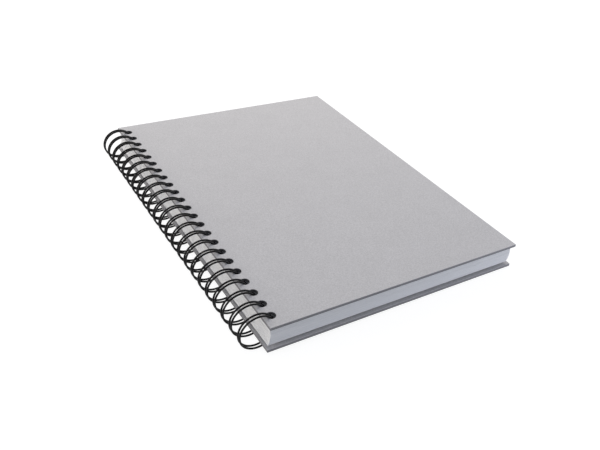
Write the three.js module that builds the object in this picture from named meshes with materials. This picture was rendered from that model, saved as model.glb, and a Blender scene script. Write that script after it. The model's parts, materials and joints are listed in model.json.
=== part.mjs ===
// An A4 sketchbook bound with a twin-loop wire comb, lying closed on a flat surface.
// Millimetres, +Z up. The spine runs along Y, with the wire on the -X side and the leaves' fore-edge
// on the +X side.
//
// The book is first drawn in its own frame: the axis of the wire loops is the Y axis, heights are measured
// from that axis along Z, and lengths along the spine from the middle of the row of holes.
// Every sheet and board is threaded on the same ring of wire, so its place across the spine
// follows from its height, where the wire passes through its holes.
import * as THREE from 'three';

// Wire comb: one black wire bent into loops of two parallel runs each.
const loop_pitch = 12.7;
const wire_diameter = 1.4;
const pair_spacing = 2.7;
const wire_bend_radius = 1.35;
const tip_to_root_gap = 1;
const wire_sides = 5;
const steps_round_ring = 14;
const steps_round_tip = 4;
const steps_round_bend = 2;

// Leaves: one loose first leaf, and the rest in bundles that lie one on the other.
const leaf_width = 210;
const leaf_height = 297;
const leaf_thickness = 0.165;
const leaf_hole_to_edge = 6.3;
const leaves_in_bundle = 10;
const upper_bundle_count = 4;
const lower_bundle_count = 4;
const leaf_follows_wire = 0.8;
const leaves_pushed_to_spine = 1.1;

// Covers: two equal boards that reach past the leaves.
const board_thickness = 2.2;
const cover_past_leaf_ends = 2.75;
const cover_past_fore_edge = 4.4;
const cover_hole_to_edge = 5.9;
const cover_row_shift = -0.8;

// Punched holes, the same row in every board and leaf.
const hole_diameter = 6.5;
const least_hole_to_leaf_end = 6;
const cover_hole_arcs = 6;
const leaf_hole_arcs = 4;

// Clearances.
const air_between_leaves = 0.05;
const wire_to_sheet_clearance = 0.3;
const ring_past_stack = 2.7;
const axis_over_stack_middle = 0.6;

// Finishes.
const board_finish = { color: 0xb1b0b4, roughness: 0.82, metalness: 0 };
const paper_finish = { color: 0xeeeeec, roughness: 0.9, metalness: 0 };
const wire_finish = { color: 0x101012, roughness: 0.3, metalness: 0.1 };

// Heights of the stack over the underside of the back cover. The wire's seam, where the loop tips meet
// the bends between the loops, lies in a gap of its own between the back cover and the last leaf.
const wire_radius = wire_diameter / 2;
const bundle_thickness = leaves_in_bundle * leaf_thickness;
const bundle_count = upper_bundle_count + lower_bundle_count;
const seam_gap = wire_diameter + 2 * wire_to_sheet_clearance;
const seam_height = board_thickness + seam_gap / 2;
const leaves_bottom = board_thickness + seam_gap;
const first_leaf_bottom = leaves_bottom + bundle_count * (bundle_thickness + air_between_leaves);
const front_cover_bottom = first_leaf_bottom + leaf_thickness + air_between_leaves;
const stack_height = front_cover_bottom + board_thickness;

// The ring is as large as the stack needs, and its axis lies a little over the stack's middle.
const ring_radius = stack_height / 2 + ring_past_stack;
const axis_height = stack_height / 2 + axis_over_stack_middle;

// A leaf has as many holes as fit along it at the wire's pitch. The row is measured between the
// centres of its first and last holes.
const loop_count = 1 + Math.floor((leaf_height - 2 * least_hole_to_leaf_end) / loop_pitch);
const row_half_length = (loop_count - 1) * loop_pitch / 2;

// The covers reach past the leaves at both ends and, with the holes in line, at the fore-edge.
const cover_height = leaf_height + 2 * cover_past_leaf_ends;
const cover_width = leaf_width - leaf_hole_to_edge + cover_hole_to_edge + cover_past_fore_edge;

// How far from the axis the wire stands, across the spine, at a height over the underside.
function wireReach(height) {
  const rise = height - axis_height;
  return Math.sqrt(ring_radius ** 2 - rise ** 2);
}

// The middle of the stretch that the slanting wire takes up while it passes through a layer.
function crossingMiddle(bottom, thickness) {
  const reaches = [wireReach(bottom), wireReach(bottom + thickness)];
  const slant = (reach) => wire_radius * ring_radius / reach;
  const near = Math.min(...reaches.map((reach) => reach - slant(reach)));
  const far = Math.max(...reaches.map((reach) => reach + slant(reach)));
  return (near + far) / 2;
}

// A flat layer with the row of holes near its spine edge, its underside at z = 0 and its holes on the Y axis.
function punchedLayer(width, height, thickness, holeToEdge, rowShift, holeArcs) {
  const outline = new THREE.Shape();
  const tail = -height / 2 - rowShift;
  const head = height / 2 - rowShift;
  outline.moveTo(-holeToEdge, tail);
  outline.lineTo(width - holeToEdge, tail);
  outline.lineTo(width - holeToEdge, head);
  outline.lineTo(-holeToEdge, head);
  outline.closePath();
  // The facets stand outside the round hole, so the hole keeps its full width.
  const facetRadius = hole_diameter / 2 / Math.cos(Math.PI / (2 * holeArcs));
  for (let loop = 0; loop < loop_count; loop += 1) {
    const hole = new THREE.Path();
    hole.absarc(0, loopPlace(loop), facetRadius, 0, 2 * Math.PI, true);
    outline.holes.push(hole);
  }
  return new THREE.ExtrudeGeometry(outline, { depth: thickness, bevelEnabled: false, curveSegments: holeArcs });
}

// Where a loop stands along the spine.
function loopPlace(loop) {
  return loop * loop_pitch - row_half_length;
}

function layerMesh(name, geometry, finish, reach, bottom) {
  const mesh = new THREE.Mesh(geometry, new THREE.MeshStandardMaterial(finish));
  mesh.name = name;
  mesh.position.set(reach, 0, bottom - axis_height);
  return mesh;
}

function coverMesh(name, bottom) {
  const geometry = punchedLayer(
    cover_width, cover_height, board_thickness, cover_hole_to_edge, cover_row_shift, cover_hole_arcs);
  return layerMesh(name, geometry, board_finish, crossingMiddle(bottom, board_thickness), bottom);
}

// Leaves lie loose on the wire, so they follow only part of its curve and lie pushed towards the spine.
function leafMesh(name, bottom, thickness) {
  const geometry = punchedLayer(leaf_width, leaf_height, thickness, leaf_hole_to_edge, 0, leaf_hole_arcs);
  const drawnIn = ring_radius - crossingMiddle(bottom, thickness);
  const reach = ring_radius - leaf_follows_wire * drawnIn - leaves_pushed_to_spine;
  return layerMesh(name, geometry, paper_finish, reach, bottom);
}

// A run of the wire goes from the bend at the loop's root nearly once round the ring to the loop's round tip.
const tip_radius = pair_spacing / 2;
const run_start = wire_bend_radius;
const run_end = 2 * Math.PI * ring_radius - tip_to_root_gap - tip_radius;

// The wire laid out flat: across is the place along the spine, along is the way round the ring from the seam.
// Each loop goes out on one run, turns at its tip and comes back on the other, and a bend leads to the next loop.
function flatWirePath() {
  const points = [];

  const addRun = (across, from, to) => {
    for (let step = 0; step <= steps_round_ring; step += 1) {
      points.push({ across, along: from + (to - from) * step / steps_round_ring });
    }
  };
  // An arc about a middle point, without its first and last points.
  const addArc = (across, along, radius, fromAngle, toAngle, steps) => {
    for (let step = 1; step < steps; step += 1) {
      const angle = fromAngle + (toAngle - fromAngle) * step / steps;
      points.push({ across: across + radius * Math.cos(angle), along: along + radius * Math.sin(angle) });
    }
  };

  for (let loop = 0; loop < loop_count; loop += 1) {
    const place = loopPlace(loop);
    const left = place - tip_radius;
    const right = place + tip_radius;
    addRun(left, run_start, run_end);
    addArc(place, run_end, tip_radius, Math.PI, 0, steps_round_tip);
    addRun(right, run_end, run_start);
    if (loop < loop_count - 1) {
      const next = left + loop_pitch;
      addArc(right + wire_bend_radius, run_start, wire_bend_radius, Math.PI, 1.5 * Math.PI, steps_round_bend);
      points.push({ across: right + wire_bend_radius, along: 0 });
      points.push({ across: next - wire_bend_radius, along: 0 });
      addArc(next - wire_bend_radius, run_start, wire_bend_radius, 1.5 * Math.PI, 2 * Math.PI, steps_round_bend);
    }
  }
  return points;
}

// The flat path rolled onto the ring. Way round: from the seam down through the back cover's holes,
// up behind the spine, over the top into the front cover's holes and down through the leaves to the seam.
function rolledWirePath() {
  const seam_angle = Math.asin((seam_height - axis_height) / ring_radius);
  // The runs are chords, so their corners stand out as far as the chords' middles stand in.
  const half_step = Math.PI / steps_round_ring;
  const corner_radius = 2 * ring_radius / (1 + Math.cos(half_step));
  return flatWirePath().map(({ across, along }) => {
    const angle = seam_angle - along / ring_radius;
    const outward = new THREE.Vector3(Math.cos(angle), 0, Math.sin(angle));
    const onRun = along > run_start && along < run_end;
    const place = outward.clone().multiplyScalar(onRun ? corner_radius : ring_radius);
    place.y = across;
    return { place, outward };
  });
}

// One unbroken tube along the path, closed at both ends.
function wireGeometry(path) {
  const positions = [];
  const triangles = [];
  path.forEach(({ place, outward }, index) => {
    const before = path[Math.max(index - 1, 0)].place;
    const after = path[Math.min(index + 1, path.length - 1)].place;
    const forward = after.clone().sub(before).normalize();
    const sideways = forward.clone().cross(outward).normalize();
    const upright = sideways.clone().cross(forward);
    for (let side = 0; side < wire_sides; side += 1) {
      const angle = 2 * Math.PI * side / wire_sides;
      const point = place.clone()
        .addScaledVector(upright, wire_radius * Math.cos(angle))
        .addScaledVector(sideways, wire_radius * Math.sin(angle));
      positions.push(point.x, point.y, point.z);
    }
  });
  for (let ring = 0; ring < path.length - 1; ring += 1) {
    for (let side = 0; side < wire_sides; side += 1) {
      const here = ring * wire_sides + side;
      const beside = ring * wire_sides + (side + 1) % wire_sides;
      triangles.push(here, beside, here + wire_sides);
      triangles.push(beside, beside + wire_sides, here + wire_sides);
    }
  }
  const last = (path.length - 1) * wire_sides;
  for (let side = 1; side < wire_sides - 1; side += 1) {
    triangles.push(0, side + 1, side);
    triangles.push(last, last + side, last + side + 1);
  }
  const geometry = new THREE.BufferGeometry();
  geometry.setAttribute('position', new THREE.Float32BufferAttribute(positions, 3));
  geometry.setIndex(triangles);
  geometry.computeVertexNormals();
  return geometry;
}

// The least gap between two stretches of the wire that aren't next to each other, measured on points.
function leastWireGap(path) {
  const parts_of_step = 6;
  const loops_compared = 3;
  const steps_in_loops = Math.ceil(loops_compared * path.length / loop_count);
  const samples = [];
  let way = 0;
  for (let index = 0; index < Math.min(steps_in_loops, path.length - 1); index += 1) {
    const from = path[index].place;
    const to = path[index + 1].place;
    const length = from.distanceTo(to);
    for (let part = 0; part < parts_of_step; part += 1) {
      const share = part / parts_of_step;
      samples.push({ point: from.clone().lerp(to, share), way: way + length * share });
    }
    way += length;
  }
  const apart = Math.PI * (tip_radius + wire_diameter);
  let least = Infinity;
  samples.forEach((one, index) => {
    for (const other of samples.slice(index + 1)) {
      if (other.way - one.way > apart) {
        least = Math.min(least, one.point.distanceTo(other.point));
      }
    }
  });
  return least - wire_diameter;
}

function wireComb() {
  const path = rolledWirePath();
  console.log(`Least gap of the wire to itself: ${leastWireGap(path).toFixed(2)} mm`);
  const mesh = new THREE.Mesh(wireGeometry(path), new THREE.MeshStandardMaterial(wire_finish));
  mesh.name = 'wire_comb';
  return mesh;
}

// The book drawn about the axis of its loops.
const book = new THREE.Group();
book.add(wireComb());
book.add(coverMesh('back_cover', 0));
for (let bundle = bundle_count; bundle >= 1; bundle -= 1) {
  const bottom = leaves_bottom + (bundle_count - bundle) * (bundle_thickness + air_between_leaves);
  book.add(leafMesh(`leaf_bundle_${bundle}`, bottom, bundle_thickness));
}
book.add(leafMesh('first_leaf', first_leaf_bottom, leaf_thickness));
book.add(coverMesh('front_cover', front_cover_bottom));

// The loops reach lower than the back cover, so the closed book stands on the loops
// and on the back cover's fore-edge, a little tilted.
const foot_reach = crossingMiddle(0, board_thickness) + cover_width - cover_hole_to_edge;
const foot_distance = Math.hypot(foot_reach, axis_height);
const tilt = Math.asin((ring_radius + wire_radius) / foot_distance) - Math.atan2(axis_height, foot_reach);
book.rotation.y = tilt;

// The standing book has its origin under the middle of its outline, on the surface that it stands on.
const sketchbook = new THREE.Group();
sketchbook.add(book);
const bounds = new THREE.Box3().setFromObject(sketchbook, true);
const middle = bounds.getCenter(new THREE.Vector3());
book.position.set(-middle.x, -middle.y, -bounds.min.z);

export default sketchbook;
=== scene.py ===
"""A wire-bound A4 sketchbook that lies closed on a white table.

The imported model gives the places: the axis of the wire loops, the tilt of the book on the table
and the middle of the row of holes. Each piece is drawn in the book's own directions about that
axis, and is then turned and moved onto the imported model. Across the spine is X, along it Y and
up through the covers Z. Sizes are written in millimetres and used in metres.
"""

import json
import logging
import math
import random
from dataclasses import dataclass, field
from enum import Enum
from typing import Any

import bpy
from mathutils import Matrix, Vector


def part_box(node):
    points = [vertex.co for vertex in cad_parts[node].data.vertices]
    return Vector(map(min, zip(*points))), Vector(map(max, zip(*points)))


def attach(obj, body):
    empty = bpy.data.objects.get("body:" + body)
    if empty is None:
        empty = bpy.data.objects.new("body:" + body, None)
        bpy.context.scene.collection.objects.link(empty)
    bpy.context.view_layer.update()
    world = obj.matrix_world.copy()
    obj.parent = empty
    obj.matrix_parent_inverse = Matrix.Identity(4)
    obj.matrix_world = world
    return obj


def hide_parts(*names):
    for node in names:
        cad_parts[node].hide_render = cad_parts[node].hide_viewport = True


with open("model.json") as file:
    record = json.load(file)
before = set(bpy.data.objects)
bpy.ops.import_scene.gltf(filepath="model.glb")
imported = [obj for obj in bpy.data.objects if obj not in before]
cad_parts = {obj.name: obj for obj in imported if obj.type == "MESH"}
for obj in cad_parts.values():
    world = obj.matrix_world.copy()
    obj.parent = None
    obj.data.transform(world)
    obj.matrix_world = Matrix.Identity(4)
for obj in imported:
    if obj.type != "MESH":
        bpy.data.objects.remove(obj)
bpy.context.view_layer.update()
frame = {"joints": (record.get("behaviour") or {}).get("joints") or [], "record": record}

MM = 0.001

log = logging.getLogger("sketchbook")


class Slot(Enum):
    """The record's material slots."""

    BOARD = "board"
    PAPER = "paper"
    WIRE = "wire"


# Sizes and place of the book


@dataclass(frozen=True)
class BookSizes:
    """The driving sizes of the book in metres, and the heights and reaches worked out from them."""

    loop_count: int = 23
    loop_pitch: float = 12.7 * MM
    wire_diameter: float = 1.4 * MM
    pair_spacing: float = 2.7 * MM
    wire_bend_radius: float = 1.35 * MM
    tip_to_root_gap: float = 1.0 * MM
    ring_past_stack: float = 2.7 * MM
    axis_over_stack_middle: float = 0.6 * MM

    leaf_width: float = 210 * MM
    leaf_height: float = 297 * MM
    leaf_thickness: float = 0.165 * MM
    leaf_hole_to_edge: float = 6.3 * MM
    leaves_in_bundle: int = 10
    bundle_count: int = 8
    leaf_follows_wire: float = 0.8
    leaves_pushed_to_spine: float = 1.1 * MM
    air_between_bundles: float = 0.05 * MM

    board_thickness: float = 2.2 * MM
    cover_past_leaf_ends: float = 2.75 * MM
    cover_past_fore_edge: float = 4.4 * MM
    cover_hole_to_edge: float = 5.9 * MM
    cover_row_shift: float = -0.8 * MM
    hole_diameter: float = 6.5 * MM
    wire_to_sheet_clearance: float = 0.3 * MM

    @property
    def wire_radius(self) -> float:
        """Half the wire's diameter."""
        return self.wire_diameter / 2

    @property
    def bundle_thickness(self) -> float:
        """How thick the leaves of one bundle are together."""
        return self.leaves_in_bundle * self.leaf_thickness

    @property
    def seam_gap(self) -> float:
        """The gap between back cover and last leaf in which the comb's seam lies."""
        return self.wire_diameter + 2 * self.wire_to_sheet_clearance

    @property
    def seam_height(self) -> float:
        """Height of the seam's wire over the underside of the stack."""
        return self.board_thickness + self.seam_gap / 2

    @property
    def leaves_bottom(self) -> float:
        """Height of the last leaf over the underside of the stack."""
        return self.board_thickness + self.seam_gap

    @property
    def first_leaf_bottom(self) -> float:
        """Height of the first leaf over the underside of the stack."""
        return self.leaves_bottom + self.bundle_count * (self.bundle_thickness + self.air_between_bundles)

    @property
    def front_cover_bottom(self) -> float:
        """Height of the front cover over the underside of the stack."""
        return self.first_leaf_bottom + self.leaf_thickness + self.air_between_bundles

    @property
    def stack_height(self) -> float:
        """Height of the closed book over both covers."""
        return self.front_cover_bottom + self.board_thickness

    @property
    def ring_radius(self) -> float:
        """Radius of the loops, to the middle of the wire."""
        return self.stack_height / 2 + self.ring_past_stack

    @property
    def axis_height(self) -> float:
        """Height of the loops' axis over the underside of the stack."""
        return self.stack_height / 2 + self.axis_over_stack_middle

    @property
    def cover_height(self) -> float:
        """Length of a cover along the spine."""
        return self.leaf_height + 2 * self.cover_past_leaf_ends

    @property
    def cover_width(self) -> float:
        """Width of a cover across the spine."""
        from_holes = self.leaf_width - self.leaf_hole_to_edge + self.cover_past_fore_edge
        return from_holes + self.cover_hole_to_edge

    def loop_place(self, loop: int) -> float:
        """Gives where a loop stands along the spine.

        Args:
            loop: The loop's number, from 0 at the tail.

        Returns:
            Its place from the middle of the row, in metres.
        """
        return (loop - (self.loop_count - 1) / 2) * self.loop_pitch

    def wire_reach(self, height: float) -> float:
        """Gives how far from the axis the wire stands at a height, across the spine.

        Args:
            height: Height over the underside of the stack.

        Returns:
            The distance from the loops' axis, in metres.
        """
        rise = height - self.axis_height
        return math.sqrt(self.ring_radius**2 - rise**2)

    def crossing_middle(self, bottom: float, thickness: float) -> float:
        """Gives the middle of the stretch that the slanting wire takes up in a layer.

        Args:
            bottom: The layer's height over the underside of the stack.
            thickness: The layer's thickness.

        Returns:
            The distance from the loops' axis, in metres.
        """
        reaches = [self.wire_reach(bottom), self.wire_reach(bottom + thickness)]
        near = min(reach - self.wire_radius * self.ring_radius / reach for reach in reaches)
        far = max(reach + self.wire_radius * self.ring_radius / reach for reach in reaches)
        return (near + far) / 2

    def leaf_reach(self, bottom: float) -> float:
        """Gives where the holes of a leaf lie.

        Leaves lie loose on the wire: they follow part of its curve and lie pushed towards the spine.

        Args:
            bottom: The leaf's height over the underside of the stack.

        Returns:
            The distance from the loops' axis, in metres.
        """
        drawn_in = self.ring_radius - self.crossing_middle(bottom, self.leaf_thickness)
        return self.ring_radius - self.leaf_follows_wire * drawn_in - self.leaves_pushed_to_spine


def book_place() -> Matrix:
    """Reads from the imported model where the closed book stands.

    Returns:
        The turn and move from the book's own directions about the loops' axis to the model's frame.
    """
    axis = Vector(frame["joints"][0]["pos_m"])
    front_face = next(mount for mount in frame["record"]["mounts"] if mount["name"] == "front_face")
    up = Vector(front_face["axis"])
    low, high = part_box("first_leaf")
    row_middle = (low.y + high.y) / 2
    move = Matrix.Translation((axis.x, row_middle, axis.z))
    return move @ Matrix.Rotation(math.atan2(up.x, up.z), 4, "Y")


# Steps of the work in Blender


def deselect() -> None:
    """Deselects every object, so that an operator acts on the next piece alone."""
    bpy.ops.object.select_all(action="DESELECT")


def take(piece: bpy.types.Object) -> None:
    """Makes a piece the only selected one and the active one.

    Args:
        piece: The object that the next operators act on.
    """
    deselect()
    piece.select_set(True)
    bpy.context.view_layer.objects.active = piece


def apply_modifiers(piece: bpy.types.Object) -> None:
    """Applies a piece's modifiers in their order.

    Args:
        piece: The object that carries them.
    """
    take(piece)
    for modifier in list(piece.modifiers):
        bpy.ops.object.modifier_apply(modifier=modifier.name)


def put_in_place(piece: bpy.types.Object, place: Matrix) -> None:
    """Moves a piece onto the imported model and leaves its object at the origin.

    Args:
        piece: The piece, drawn about the loops' axis.
        place: The book's place.
    """
    take(piece)
    piece.matrix_world = place @ piece.matrix_world
    bpy.ops.object.transform_apply(location=True, rotation=True, scale=True)


def block(name: str, low: Vector, high: Vector) -> bpy.types.Object:
    """Adds a block between two corners.

    Args:
        name: The object's name.
        low: Its lowest corner.
        high: Its highest corner.

    Returns:
        The new object, its size in its mesh.
    """
    deselect()
    bpy.ops.mesh.primitive_cube_add(size=1, location=(low + high) / 2, scale=high - low)
    piece = bpy.context.active_object
    piece.name = name
    bpy.ops.object.transform_apply(location=True, rotation=True, scale=True)
    return piece


def punch_row(piece: bpy.types.Object, book: BookSizes, sides: int, depth: float) -> None:
    """Punches the row of holes through a flat piece whose holes lie on the Y axis.

    Args:
        piece: The board or leaf, with its middle height at zero.
        book: The book's sizes.
        sides: How many sides the round punch has.
        depth: How long the punch is, more than the piece is thick.
    """
    deselect()
    bpy.ops.mesh.primitive_cylinder_add(
        vertices=sides,
        radius=book.hole_diameter / 2,
        depth=depth,
        location=(0, book.loop_place(0), 0),
    )
    punch = bpy.context.active_object
    row = punch.modifiers.new("row of punches", "ARRAY")
    row.count = book.loop_count
    row.use_relative_offset = False
    row.use_constant_offset = True
    row.constant_offset_displace = (0, book.loop_pitch, 0)
    apply_modifiers(punch)
    cut = piece.modifiers.new("punched holes", "BOOLEAN")
    cut.operation = "DIFFERENCE"
    cut.solver = "EXACT"
    cut.object = punch
    apply_modifiers(piece)
    bpy.data.objects.remove(punch)


# Finishes


SRGB_CURVE = (0.04045, 12.92, 0.055, 2.4)
SAME_ALL_WAYS = (1, 1, 1)
ALREADY_SCALED = 1.0


def linear(hex_colour: str) -> tuple[float, float, float, float]:
    """Turns an sRGB hex colour to linear light, by the curve of the sRGB standard.

    Args:
        hex_colour: Six hex digits after a hash.

    Returns:
        Red, green, blue and alpha, from 0 to 1.
    """
    toe_end, toe_slope, offset, power = SRGB_CURVE
    light = []
    for start in (1, 3, 5):
        part = int(hex_colour[start : start + 2], 16) / 255
        if part <= toe_end:
            light.append(part / toe_slope)
        else:
            light.append(((part + offset) / (1 + offset)) ** power)
    return (*light, 1.0)


def add_node(
    tree: bpy.types.NodeTree,
    kind: str,
    inputs: dict[str | int, Any] | None = None,
    **settings: Any,
) -> bpy.types.Node:
    """Adds a node with its settings, values and links.

    Args:
        tree: The material's or world's nodes.
        kind: The node's type.
        inputs: For each input, by name or number, its value or the output that feeds it.
        **settings: The node's own properties.

    Returns:
        The new node.
    """
    node = tree.nodes.new(kind)
    for name, value in settings.items():
        setattr(node, name, value)
    for name, value in (inputs or {}).items():
        if isinstance(value, bpy.types.NodeSocket):
            tree.links.new(value, node.inputs[name])
        else:
            node.inputs[name].default_value = value
    return node


def set_ramp(ramp: bpy.types.Node, stops: list[tuple[float, str]]) -> None:
    """Gives a colour ramp its stops.

    Args:
        ramp: The colour ramp's node.
        stops: Place and hex colour of each stop, from low to high.
    """
    elements = ramp.color_ramp.elements
    while len(elements) < len(stops):
        elements.new(1.0)
    for element, (position, hex_colour) in zip(elements, stops):
        element.position = position
        element.color = linear(hex_colour)


def new_material(name: str) -> tuple[bpy.types.Material, bpy.types.NodeTree]:
    """Starts a material with no nodes.

    Args:
        name: The material's name.

    Returns:
        The material and its nodes.
    """
    material = bpy.data.materials.new(name)
    material.use_nodes = True
    material.node_tree.nodes.clear()
    return material, material.node_tree


def object_place(tree: bpy.types.NodeTree, tilt: float, scale: tuple[float, float, float]) -> Any:
    """Gives a pattern its place on a piece, turned back so that it lies along the book.

    Args:
        tree: The material's nodes.
        tilt: How far the book is tilted on the table, about Y.
        scale: How many pattern cells go into a metre across, along and up.

    Returns:
        The output that holds the place.
    """
    own = add_node(tree, "ShaderNodeTexCoord")
    level = add_node(
        tree,
        "ShaderNodeMapping",
        {"Vector": own.outputs["Object"], "Rotation": (0, -tilt, 0)},
    )
    scaled = add_node(
        tree,
        "ShaderNodeVectorMath",
        {0: level.outputs["Vector"], 1: scale},
        operation="MULTIPLY",
    )
    return scaled.outputs["Vector"]


@dataclass(frozen=True)
class Greyboard:
    """Greyboard pressed from recycled pulp, uncoated.

    The pulp gives a flat, matt grey with a fine grain of lighter and darker fibres and a faint
    cloudiness, and no gloss. The grain is drawn a little coarser than real fibres, so that it shows.
    """

    name: str = "greyboard_pressed_uncoated"
    dark: str = "#abaaab"
    middle: str = "#b9b8b9"
    light: str = "#c7c6c7"
    dark_below: float = 0.28
    middle_at: float = 0.5
    light_above: float = 0.72
    grain_width: float = 0.9 * MM
    grain_detail: float = 2.0
    grain_harshness: float = 0.6
    cloud_width: float = 22 * MM
    cloud_detail: float = 3.0
    cloud_share: float = 0.12
    roughness: float = 0.7
    bump_height: float = 0.04 * MM
    bump_strength: float = 0.25
    tilt: float = 0.0

    def material(self) -> bpy.types.Material:
        """Makes the material.

        Returns:
            The board's material.
        """
        material, tree = new_material(self.name)
        place = object_place(tree, self.tilt, SAME_ALL_WAYS)
        grain = add_node(
            tree,
            "ShaderNodeTexNoise",
            {
                "Vector": place,
                "Scale": 1 / self.grain_width,
                "Detail": self.grain_detail,
                "Roughness": self.grain_harshness,
            },
        )
        cloud = add_node(
            tree,
            "ShaderNodeTexNoise",
            {"Vector": place, "Scale": 1 / self.cloud_width, "Detail": self.cloud_detail},
        )
        mixed = add_node(
            tree,
            "ShaderNodeMix",
            {"Factor": self.cloud_share, 2: grain.outputs["Fac"], 3: cloud.outputs["Fac"]},
        )
        colour = add_node(tree, "ShaderNodeValToRGB", {"Fac": mixed.outputs["Result"]})
        stops = [
            (self.dark_below, self.dark),
            (self.middle_at, self.middle),
            (self.light_above, self.light),
        ]
        set_ramp(colour, stops)
        relief = add_node(
            tree,
            "ShaderNodeBump",
            {"Height": grain.outputs["Fac"], "Distance": self.bump_height, "Strength": self.bump_strength},
        )
        shader = add_node(
            tree,
            "ShaderNodeBsdfPrincipled",
            {
                "Base Color": colour.outputs["Color"],
                "Roughness": self.roughness,
                "Normal": relief.outputs["Normal"],
            },
        )
        add_node(tree, "ShaderNodeOutputMaterial", {"Surface": shader.outputs["BSDF"]})
        return material


@dataclass(frozen=True)
class GreyboardCutEdge:
    """The guillotined edge of the same greyboard.

    The blade lays the pulp's thin plies bare, so the edge is rougher than the face, with streaks that run
    along it.
    Its colour is darker than the face: partly the bare pulp's own tone, partly painted shade for the shade
    along the edges by the table. The plies are drawn coarser than they are, so that they show.
    """

    name: str = "greyboard_guillotined_edge"
    # Darker than the face: partly the pulp's own tone, partly painted shade.
    dark: str = "#7b7a7c"
    light: str = "#929193"
    dark_below: float = 0.3
    light_above: float = 0.7
    ply_thickness: float = 0.35 * MM
    ply_detail: float = 3.0
    ply_harshness: float = 0.65
    streak_length: float = 9 * MM
    roughness: float = 0.9
    tilt: float = 0.0

    def material(self) -> bpy.types.Material:
        """Makes the material.

        Returns:
            The cut edge's material.
        """
        material, tree = new_material(self.name)
        along = 1 / self.streak_length
        place = object_place(tree, self.tilt, (along, along, 1 / self.ply_thickness))
        plies = add_node(
            tree,
            "ShaderNodeTexNoise",
            {
                "Vector": place,
                "Scale": ALREADY_SCALED,
                "Detail": self.ply_detail,
                "Roughness": self.ply_harshness,
            },
        )
        colour = add_node(tree, "ShaderNodeValToRGB", {"Fac": plies.outputs["Fac"]})
        set_ramp(colour, [(self.dark_below, self.dark), (self.light_above, self.light)])
        shader = add_node(
            tree,
            "ShaderNodeBsdfPrincipled",
            {"Base Color": colour.outputs["Color"], "Roughness": self.roughness},
        )
        add_node(tree, "ShaderNodeOutputMaterial", {"Surface": shader.outputs["BSDF"]})
        return material


@dataclass(frozen=True)
class GreyboardHoleWallShade(GreyboardCutEdge):
    """The wall of a hole punched in the same greyboard.

    Its colour is painted shade: it is drawn darker than a guillotined edge to stand for the deep shade
    inside the holes.
    """

    name: str = "greyboard_painted_hole_shade"
    # Painted shade: these colours stand for the dark inside the holes.
    dark: str = "#3c3c3f"
    light: str = "#515154"


@dataclass(frozen=True)
class CartridgePaper:
    """White cartridge paper, machine-made and uncoated.

    It scatters light evenly, with a faint tooth and no gloss. The tooth is drawn coarser than it is,
    so that it shows.
    """

    name: str = "cartridge_paper_uncoated"
    dark: str = "#e9e9e9"
    light: str = "#f1f1f0"
    dark_below: float = 0.3
    light_above: float = 0.7
    tooth_width: float = 0.9 * MM
    tooth_detail: float = 2.0
    roughness: float = 0.9
    bump_height: float = 0.02 * MM
    bump_strength: float = 0.2
    tilt: float = 0.0

    def material(self) -> bpy.types.Material:
        """Makes the material.

        Returns:
            The pages' material.
        """
        material, tree = new_material(self.name)
        place = object_place(tree, self.tilt, SAME_ALL_WAYS)
        tooth = add_node(
            tree,
            "ShaderNodeTexNoise",
            {"Vector": place, "Scale": 1 / self.tooth_width, "Detail": self.tooth_detail},
        )
        colour = add_node(tree, "ShaderNodeValToRGB", {"Fac": tooth.outputs["Fac"]})
        set_ramp(colour, [(self.dark_below, self.dark), (self.light_above, self.light)])
        relief = add_node(
            tree,
            "ShaderNodeBump",
            {"Height": tooth.outputs["Fac"], "Distance": self.bump_height, "Strength": self.bump_strength},
        )
        shader = add_node(
            tree,
            "ShaderNodeBsdfPrincipled",
            {
                "Base Color": colour.outputs["Color"],
                "Roughness": self.roughness,
                "Normal": relief.outputs["Normal"],
            },
        )
        add_node(tree, "ShaderNodeOutputMaterial", {"Surface": shader.outputs["BSDF"]})
        return material


@dataclass(frozen=True)
class CartridgePaperCutEdge:
    """The guillotined edges of the same paper.

    Seen from the side the leaves differ a little in tone from one to the next, which draws fine
    lines along the block. The lines are drawn two leaves wide, so that they show.
    """

    name: str = "cartridge_paper_guillotined_edge"
    dark: str = "#dfdfe0"
    light: str = "#f3f3f2"
    dark_below: float = 0.3
    light_above: float = 0.65
    leaf_band: float = 0.33 * MM
    band_length: float = 160 * MM
    band_detail: float = 2.0
    roughness: float = 0.9
    tilt: float = 0.0

    def material(self) -> bpy.types.Material:
        """Makes the material.

        Returns:
            The leaf edges' material.
        """
        material, tree = new_material(self.name)
        along = 1 / self.band_length
        place = object_place(tree, self.tilt, (along, along, 1 / self.leaf_band))
        bands = add_node(
            tree,
            "ShaderNodeTexNoise",
            {"Vector": place, "Scale": ALREADY_SCALED, "Detail": self.band_detail},
        )
        colour = add_node(tree, "ShaderNodeValToRGB", {"Fac": bands.outputs["Fac"]})
        set_ramp(colour, [(self.dark_below, self.dark), (self.light_above, self.light)])
        shader = add_node(
            tree,
            "ShaderNodeBsdfPrincipled",
            {"Base Color": colour.outputs["Color"], "Roughness": self.roughness},
        )
        add_node(tree, "ShaderNodeOutputMaterial", {"Surface": shader.outputs["BSDF"]})
        return material


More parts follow.
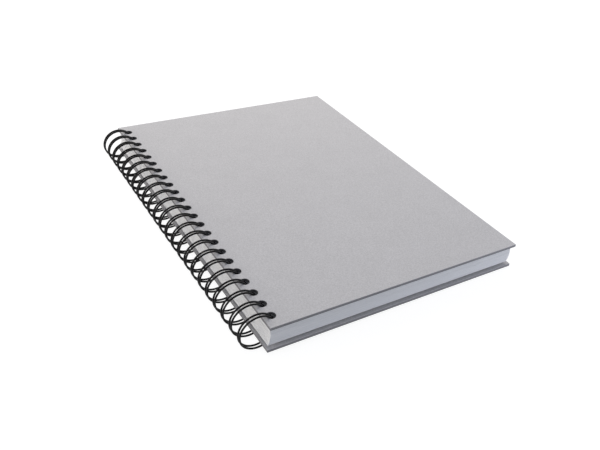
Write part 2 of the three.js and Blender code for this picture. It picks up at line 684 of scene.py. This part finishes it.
@dataclass(frozen=True)
class NylonCoatedWire:
    """Steel binding wire with a black nylon coating.

    The coating is smooth and deep black, with a thin sharp highlight along each run. It is slightly
    uneven from the dipping, which breaks the highlight up a little.
    """

    name: str = "steel_wire_black_nylon_coated"
    black: str = "#050406"
    worn: str = "#0d0c0f"
    black_below: float = 0.4
    worn_above: float = 0.7
    patch_width: float = 3 * MM
    patch_detail: float = 3.0
    smooth: float = 0.32
    dull: float = 0.45
    ior: float = 1.53
    shine: float = 0.12
    tilt: float = 0.0

    def material(self) -> bpy.types.Material:
        """Makes the material.

        Returns:
            The wire's material.
        """
        material, tree = new_material(self.name)
        place = object_place(tree, self.tilt, SAME_ALL_WAYS)
        patches = add_node(
            tree,
            "ShaderNodeTexNoise",
            {"Vector": place, "Scale": 1 / self.patch_width, "Detail": self.patch_detail},
        )
        colour = add_node(tree, "ShaderNodeValToRGB", {"Fac": patches.outputs["Fac"]})
        set_ramp(colour, [(self.black_below, self.black), (self.worn_above, self.worn)])
        gloss = add_node(
            tree,
            "ShaderNodeMapRange",
            {"Value": patches.outputs["Fac"], "To Min": self.smooth, "To Max": self.dull},
        )
        shader = add_node(
            tree,
            "ShaderNodeBsdfPrincipled",
            {
                "Base Color": colour.outputs["Color"],
                "Roughness": gloss.outputs["Result"],
                "IOR": self.ior,
                "Specular IOR Level": self.shine,
            },
        )
        add_node(tree, "ShaderNodeOutputMaterial", {"Surface": shader.outputs["BSDF"]})
        return material


# The pieces


@dataclass
class CoverBoard:
    """One cover: a guillotined grey board with a row of punched holes by its spine edge."""

    name: str
    node: str
    body: str
    bottom: float
    book: BookSizes
    punch_sides: int = 48
    worn_edge: float = 0.18 * MM
    worn_edge_steps: int = 3
    smooth_angle: float = math.radians(40)
    face_from: float = 0.5
    flat_from: float = 0.999

    def build(self, place: Matrix, finishes: list[bpy.types.Material]) -> bpy.types.Object:
        """Makes the board and puts it in its node's place.

        Args:
            place: The book's place.
            finishes: The finish of the pressed faces and of the cut edges, and the holes' walls' painted
                shade.

        Returns:
            The finished cover.
        """
        board = self._blank()
        punch_row(board, self.book, self.punch_sides, 2 * self.book.board_thickness)
        self._soften(board)
        self._dress(board, finishes)
        self._lay(board)
        put_in_place(board, place)
        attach(board, self.body)
        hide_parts(self.node)
        return board

    def _blank(self) -> bpy.types.Object:
        """Cuts the board to size, its holes on the Y axis and its middle height at zero.

        Returns:
            The board without its holes.
        """
        book = self.book
        half_height = book.cover_height / 2
        half_thickness = book.board_thickness / 2
        low = Vector((-book.cover_hole_to_edge, -half_height - book.cover_row_shift, -half_thickness))
        high = Vector(
            (book.cover_width - book.cover_hole_to_edge, half_height - book.cover_row_shift, half_thickness)
        )
        return block(self.name, low, high)

    def _soften(self, board: bpy.types.Object) -> None:
        """Rounds the cut edges and the rims of the holes slightly.

        Args:
            board: The punched board.
        """
        rounding = board.modifiers.new("worn edges", "BEVEL")
        rounding.width = self.worn_edge
        rounding.segments = self.worn_edge_steps
        rounding.limit_method = "ANGLE"
        apply_modifiers(board)
        bpy.ops.object.shade_smooth_by_angle(angle=self.smooth_angle)
        for polygon in board.data.polygons:
            if abs(polygon.normal.z) > self.flat_from:
                polygon.use_smooth = False

    def _dress(self, board: bpy.types.Object, finishes: list[bpy.types.Material]) -> None:
        """Gives the pressed faces and the cut edges their finishes, and the holes' walls their painted
        shade.

        Args:
            board: The punched board.
            finishes: The finish of the pressed faces and of the cut edges, and the holes' walls' painted
                shade.
        """
        board.data.materials.clear()
        for finish in finishes:
            board.data.materials.append(finish)
        face, cut_edge, hole_wall_shade = range(len(finishes))
        hole_reach = self.book.hole_diameter / 2 + self.worn_edge
        for polygon in board.data.polygons:
            if abs(polygon.normal.z) > self.flat_from:
                polygon.material_index = face
            # The holes' walls take the dark colour that is painted shade for the inside of the holes.
            elif abs(polygon.center.x) < hole_reach:
                polygon.material_index = hole_wall_shade
            elif abs(polygon.normal.z) > self.face_from:
                polygon.material_index = face
            else:
                polygon.material_index = cut_edge

    def _lay(self, board: bpy.types.Object) -> None:
        """Threads the board on the wire at its height in the stack.

        Args:
            board: The finished board, its holes on the Y axis and its middle height at zero.
        """
        book = self.book
        board.location.x = book.crossing_middle(self.bottom, book.board_thickness)
        board.location.z = self.bottom + book.board_thickness / 2 - book.axis_height


@dataclass
class LeafStack:
    """Leaves that lie one on the other, each a punched sheet of its own."""

    name: str
    node: str
    body: str
    bottom: float
    count: int
    book: BookSizes
    punch_sides: int = 24
    air: float = 0.012 * MM
    lean: float = 0.8 * MM
    stray_across: float = 0.07 * MM
    stray_along: float = 0.1 * MM
    page_from: float = 0.9

    def leaf(self) -> bpy.types.Object:
        """Makes one punched leaf, its holes on the Y axis and its middle height at zero.

        Returns:
            The leaf that every stack copies.
        """
        book = self.book
        half_height = book.leaf_height / 2
        half_thickness = (book.leaf_thickness - self.air) / 2
        low = Vector((-book.leaf_hole_to_edge, -half_height, -half_thickness))
        high = Vector((book.leaf_width - book.leaf_hole_to_edge, half_height, half_thickness))
        leaf = block("leaf", low, high)
        punch_row(leaf, book, self.punch_sides, 2 * book.leaf_thickness)
        return leaf

    def build(
        self,
        template: bpy.types.Object,
        chance: random.Random,
        place: Matrix,
        finishes: list[bpy.types.Material],
    ) -> bpy.types.Object:
        """Lays copies of the punched leaf on each other and puts them in their node's place.

        Args:
            template: The leaf that is copied.
            chance: What the leaves' small strays are drawn from.
            place: The book's place.
            finishes: The finish of the pages and of the leaves' cut edges.

        Returns:
            The finished leaves as one piece.
        """
        pitch = self.book.leaf_thickness
        leaves = []
        for number in range(self.count):
            bottom = self.bottom + number * pitch
            leaf = template.copy()
            leaf.data = template.data.copy()
            bpy.context.scene.collection.objects.link(leaf)
            reach = self.book.leaf_reach(bottom) - self._lean(bottom)
            leaf.location = (
                reach + chance.uniform(-self.stray_across, self.stray_across),
                chance.uniform(-self.stray_along, self.stray_along),
                bottom + pitch / 2 - self.book.axis_height,
            )
            leaves.append(leaf)
        take(leaves[0])
        for leaf in leaves:
            leaf.select_set(True)
        if len(leaves) > 1:
            bpy.ops.object.join()
        stack = bpy.context.active_object
        stack.name = self.name
        self._dress(stack, finishes)
        put_in_place(stack, place)
        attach(stack, self.body)
        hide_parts(self.node)
        return stack

    def _dress(self, stack: bpy.types.Object, finishes: list[bpy.types.Material]) -> None:
        """Gives the pages and the cut edges their finishes.

        Args:
            stack: The leaves.
            finishes: The finish of the pages and of the leaves' cut edges.
        """
        stack.data.materials.clear()
        for finish in finishes:
            stack.data.materials.append(finish)
        page, cut_edge = range(len(finishes))
        for polygon in stack.data.polygons:
            polygon.material_index = page if abs(polygon.normal.z) > self.page_from else cut_edge

    def _lean(self, bottom: float) -> float:
        """Gives how far a leaf has slid towards the spine: the lowest most, the top one not at all.

        Args:
            bottom: The leaf's height over the underside of the stack.

        Returns:
            The slide, in metres.
        """
        book = self.book
        leaves_height = book.front_cover_bottom - book.leaves_bottom
        return self.lean * (book.front_cover_bottom - bottom) / leaves_height


@dataclass
class WireComb:
    """The twin-loop comb: one wire bent flat into a row of long loops, then rolled to rings."""

    book: BookSizes
    name: str = "twin_loop_wire"
    node: str = "wire_comb"
    body: str = "root"
    ring_steps: int = 52
    tip_steps: int = 10
    bend_steps: int = 6
    round_steps: int = 4
    merge_distance: float = 0.001 * MM
    smooth_angle: float = math.radians(50)

    def build(self, place: Matrix, coating: bpy.types.Material) -> bpy.types.Object:
        """Bends the wire and puts it in its node's place.

        Args:
            place: The book's place.
            coating: The wire's finish.

        Returns:
            The finished comb.
        """
        wire = self._bent_wire()
        wire.data.materials.clear()
        wire.data.materials.append(coating)
        put_in_place(wire, place)
        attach(wire, self.body)
        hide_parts(self.node)
        return wire

    def _flat_path(self) -> list[tuple[float, float]]:
        """Lays the wire out flat.

        Returns:
            The wire's points: the place along the spine, and the way round the ring from the seam.
        """
        book = self.book
        tip_radius = book.pair_spacing / 2
        bend_radius = book.wire_bend_radius
        run_start = bend_radius
        run_end = 2 * math.pi * book.ring_radius - book.tip_to_root_gap - tip_radius
        points: list[tuple[float, float]] = []

        def run(across: float, start: float, end: float) -> None:
            """Adds a straight run."""
            for step in range(self.ring_steps + 1):
                points.append((across, start + (end - start) * step / self.ring_steps))

        def arc(across: float, along: float, radius: float, start: float, end: float, steps: int) -> None:
            """Adds an arc about a middle, without its first and last points."""
            for step in range(1, steps):
                angle = start + (end - start) * step / steps
                points.append((across + radius * math.cos(angle), along + radius * math.sin(angle)))

        half_turn = math.pi
        quarter_turn = math.pi / 2
        for loop in range(book.loop_count):
            middle = book.loop_place(loop)
            left = middle - tip_radius
            right = middle + tip_radius
            run(left, run_start, run_end)
            arc(middle, run_end, tip_radius, half_turn, 0, self.tip_steps)
            run(right, run_end, run_start)
            if loop < book.loop_count - 1:
                root = right + bend_radius
                next_root = left + book.loop_pitch - bend_radius
                arc(root, run_start, bend_radius, half_turn, half_turn + quarter_turn, self.bend_steps)
                points.append((root, 0))
                points.append((next_root, 0))
                arc(next_root, run_start, bend_radius, -quarter_turn, 0, self.bend_steps)
        return points

    def _bent_wire(self) -> bpy.types.Object:
        """Rolls the flat path onto the ring and gives it the wire's round section.

        Returns:
            The wire as a closed mesh, about the loops' axis.
        """
        book = self.book
        seam_angle = math.asin((book.seam_height - book.axis_height) / book.ring_radius)
        curve = bpy.data.curves.new(self.name, "CURVE")
        curve.dimensions = "3D"
        curve.bevel_depth = book.wire_radius
        curve.bevel_resolution = self.round_steps
        curve.use_fill_caps = True
        path = self._flat_path()
        spline = curve.splines.new("POLY")
        spline.points.add(len(path) - 1)
        for point, (across, along) in zip(spline.points, path):
            angle = seam_angle - along / book.ring_radius
            point.co = (book.ring_radius * math.cos(angle), across, book.ring_radius * math.sin(angle), 1)
        wire = bpy.data.objects.new(self.name, curve)
        bpy.context.scene.collection.objects.link(wire)
        take(wire)
        bpy.ops.object.convert(target="MESH")
        wire = bpy.context.active_object
        bpy.ops.object.mode_set(mode="EDIT")
        bpy.ops.mesh.select_all(action="SELECT")
        bpy.ops.mesh.remove_doubles(threshold=self.merge_distance)
        bpy.ops.mesh.normals_make_consistent(inside=False)
        bpy.ops.object.mode_set(mode="OBJECT")
        bpy.ops.object.shade_smooth_by_angle(angle=self.smooth_angle)
        return wire


@dataclass
class Sketchbook:
    """The whole book: comb, covers and leaves."""

    book: BookSizes = field(default_factory=BookSizes)
    stray_seed: int = 7

    def build(self) -> list[bpy.types.Object]:
        """Makes every piece.

        Returns:
            The finished pieces, from the comb to the front cover.
        """
        book = self.book
        place = book_place()
        tilt = place.to_euler().y
        # The third finish is painted shade for the holes' walls.
        board_finishes = (Greyboard, GreyboardCutEdge, GreyboardHoleWallShade)
        paper_finishes = (CartridgePaper, CartridgePaperCutEdge)
        board = [finish(tilt=tilt).material() for finish in board_finishes]
        paper = [finish(tilt=tilt).material() for finish in paper_finishes]
        coating = NylonCoatedWire(tilt=tilt).material()
        pieces = [WireComb(book).build(place, coating)]
        back = CoverBoard(name="back_board", node="back_cover", body="root", bottom=0.0, book=book)
        pieces.append(back.build(place, board))
        stacks = self._stacks()
        template = stacks[0].leaf()
        chance = random.Random(self.stray_seed)
        pieces.extend(stack.build(template, chance, place, paper) for stack in stacks)
        bpy.data.objects.remove(template)
        front = CoverBoard(
            name="front_board",
            node="front_cover",
            body="front_cover",
            bottom=book.front_cover_bottom,
            book=book,
        )
        pieces.append(front.build(place, board))
        return pieces

    def _stacks(self) -> list[LeafStack]:
        """Lists the stacks of leaves.

        Returns:
            The bundles from the bottom one up, and then the first leaf.
        """
        book = self.book
        stacks = []
        for place_up in range(book.bundle_count):
            number = book.bundle_count - place_up
            body = "upper_leaves" if number <= book.bundle_count // 2 else "lower_leaves"
            bundle = LeafStack(
                name=f"leaves_{number}",
                node=f"leaf_bundle_{number}",
                body=body,
                bottom=book.leaves_bottom + place_up * (book.bundle_thickness + book.air_between_bundles),
                count=book.leaves_in_bundle,
                book=book,
            )
            stacks.append(bundle)
        first = LeafStack(
            name="opening_leaf",
            node="first_leaf",
            body="first_leaf",
            bottom=book.first_leaf_bottom,
            count=1,
            book=book,
        )
        return [*stacks, first]


# Table, light and camera


@dataclass(frozen=True)
class SoftLamp:
    """A rectangular soft lamp that points at the book."""

    name: str
    place: tuple[float, float, float]
    width: float
    height: float
    power: float
    colour: str

    def build(self) -> None:
        """Hangs the lamp and turns it to the book."""
        light = bpy.data.lights.new(self.name, "AREA")
        light.shape = "RECTANGLE"
        light.size = self.width
        light.size_y = self.height
        light.energy = self.power
        light.color = linear(self.colour)[:3]
        lamp = bpy.data.objects.new(self.name, light)
        lamp.location = self.place
        lamp.rotation_euler = (-Vector(self.place)).to_track_quat("-Z", "Y").to_euler()
        bpy.context.scene.collection.objects.link(lamp)


@dataclass(frozen=True)
class Studio:
    """A white table under even light, with four soft lamps.

    A wide one stands behind the book and one at its spine, a small one far behind and one in front.
    """

    table_size: float = 12.0
    table_bounce: str = "#8c8c8c"
    table_seen_white: float = 0.9
    table_seen_shaded: str = "#7a7a7a"
    window_lamp: SoftLamp = SoftLamp(
        name="window_lamp", place=(0.62, 0.85, 0.82), width=0.9, height=0.5, power=7.8, colour="#fff8ef"
    )
    back_lamp: SoftLamp = SoftLamp(
        name="back_lamp", place=(-0.25, 1.28, 0.6), width=0.1, height=0.1, power=5.5, colour="#fff8ef"
    )
    spine_lamp: SoftLamp = SoftLamp(
        name="spine_lamp", place=(-1.2, 0.1, 0.3), width=1.4, height=0.3, power=9.0, colour="#fff9f2"
    )
    front_lamp: SoftLamp = SoftLamp(
        name="front_lamp", place=(0.5, -0.45, 0.07), width=0.3, height=0.1, power=1.4, colour="#edf1ff"
    )
    sky_colour: str = "#e6ecfa"
    sky_strength: float = 0.52
    sky_seen: str = "#ffffff"
    sky_seen_strength: float = 1.0

    def build(self) -> None:
        """Makes the table, the lamps and the light all round."""
        self._table()
        for lamp in (self.window_lamp, self.back_lamp, self.spine_lamp, self.front_lamp):
            lamp.build()
        self._sky()

    def _seen_directly(self, tree: bpy.types.NodeTree) -> Any:
        """Adds a switch between what is seen and what lights the book.

        Args:
            tree: The table's or the world's nodes.

        Returns:
            The output that is 1 for the camera, for gloss and for glass, and 0 for scattered light.
        """
        path = add_node(tree, "ShaderNodeLightPath")
        camera_or_gloss = add_node(
            tree,
            "ShaderNodeMath",
            {0: path.outputs["Is Camera Ray"], 1: path.outputs["Is Glossy Ray"]},
            operation="MAXIMUM",
        )
        seen = add_node(
            tree,
            "ShaderNodeMath",
            {0: camera_or_gloss.outputs["Value"], 1: path.outputs["Is Transmission Ray"]},
            operation="MAXIMUM",
        )
        return seen.outputs["Value"]

    def _table(self) -> None:
        """Lays the table: white with the book's shadow where it is seen, plain grey to other light."""
        deselect()
        bpy.ops.mesh.primitive_plane_add(size=self.table_size, location=(0, 0, 0))
        table = bpy.context.active_object
        table.name = "table_top"
        material, tree = new_material("table_white_matt_paint")
        plain = add_node(tree, "ShaderNodeBsdfDiffuse", {"Color": linear(self.table_bounce)})
        shaded = add_node(tree, "ShaderNodeBsdfDiffuse", {"Color": linear(self.table_seen_shaded)})
        white = add_node(tree, "ShaderNodeEmission", {"Strength": self.table_seen_white})
        shown = add_node(
            tree,
            "ShaderNodeAddShader",
            {0: shaded.outputs["BSDF"], 1: white.outputs["Emission"]},
        )
        surface = add_node(
            tree,
            "ShaderNodeMixShader",
            {0: self._seen_directly(tree), 1: plain.outputs["BSDF"], 2: shown.outputs["Shader"]},
        )
        add_node(tree, "ShaderNodeOutputMaterial", {"Surface": surface.outputs["Shader"]})
        table.data.materials.append(material)

    def _sky(self) -> None:
        """Sets the even light: white where it is seen, weaker and slightly blue as light."""
        world = bpy.data.worlds.new("even_light")
        world.use_nodes = True
        tree = world.node_tree
        tree.nodes.clear()
        light = add_node(
            tree,
            "ShaderNodeBackground",
            {"Color": linear(self.sky_colour), "Strength": self.sky_strength},
        )
        white = add_node(
            tree,
            "ShaderNodeBackground",
            {"Color": linear(self.sky_seen), "Strength": self.sky_seen_strength},
        )
        both = add_node(
            tree,
            "ShaderNodeMixShader",
            {0: self._seen_directly(tree), 1: light.outputs["Background"], 2: white.outputs["Background"]},
        )
        add_node(tree, "ShaderNodeOutputWorld", {"Surface": both.outputs["Shader"]})
        bpy.context.scene.world = world


@dataclass(frozen=True)
class Viewpoint:
    """The camera of the photograph, at the book's tail-end left corner and looking down on it."""

    place: tuple[float, float, float] = (-256.7 * MM, -436.4 * MM, 322.8 * MM)
    heading: float = math.radians(-35.69)
    pitch: float = math.radians(57.51)
    roll: float = math.radians(5.77)
    lens: float = 41.82
    sensor: float = 36.0
    shift: tuple[float, float] = (-0.0726, -0.0269)
    clip_start: float = 10 * MM

    def build(self) -> None:
        """Sets the camera up."""
        data = bpy.data.cameras.new("camera")
        data.sensor_width = self.sensor
        data.lens = self.lens
        data.shift_x, data.shift_y = self.shift
        data.clip_start = self.clip_start
        camera = bpy.data.objects.new("camera", data)
        turn = Matrix.Rotation(self.heading, 4, "Z") @ Matrix.Rotation(self.pitch, 4, "X")
        turn = turn @ Matrix.Rotation(self.roll, 4, "Z")
        camera.matrix_world = Matrix.Translation(self.place) @ turn
        bpy.context.scene.collection.objects.link(camera)
        bpy.context.scene.camera = camera


def main() -> None:
    """Builds the book, its table and light, and the camera."""
    logging.basicConfig(level=logging.INFO, format="%(name)s: %(message)s")
    bpy.context.scene.view_settings.view_transform = "Standard"
    Viewpoint().build()
    Studio().build()
    for piece in Sketchbook().build():
        log.info("%s: %d faces", piece.name, len(piece.data.polygons))


if __name__ == "__main__":
    main()
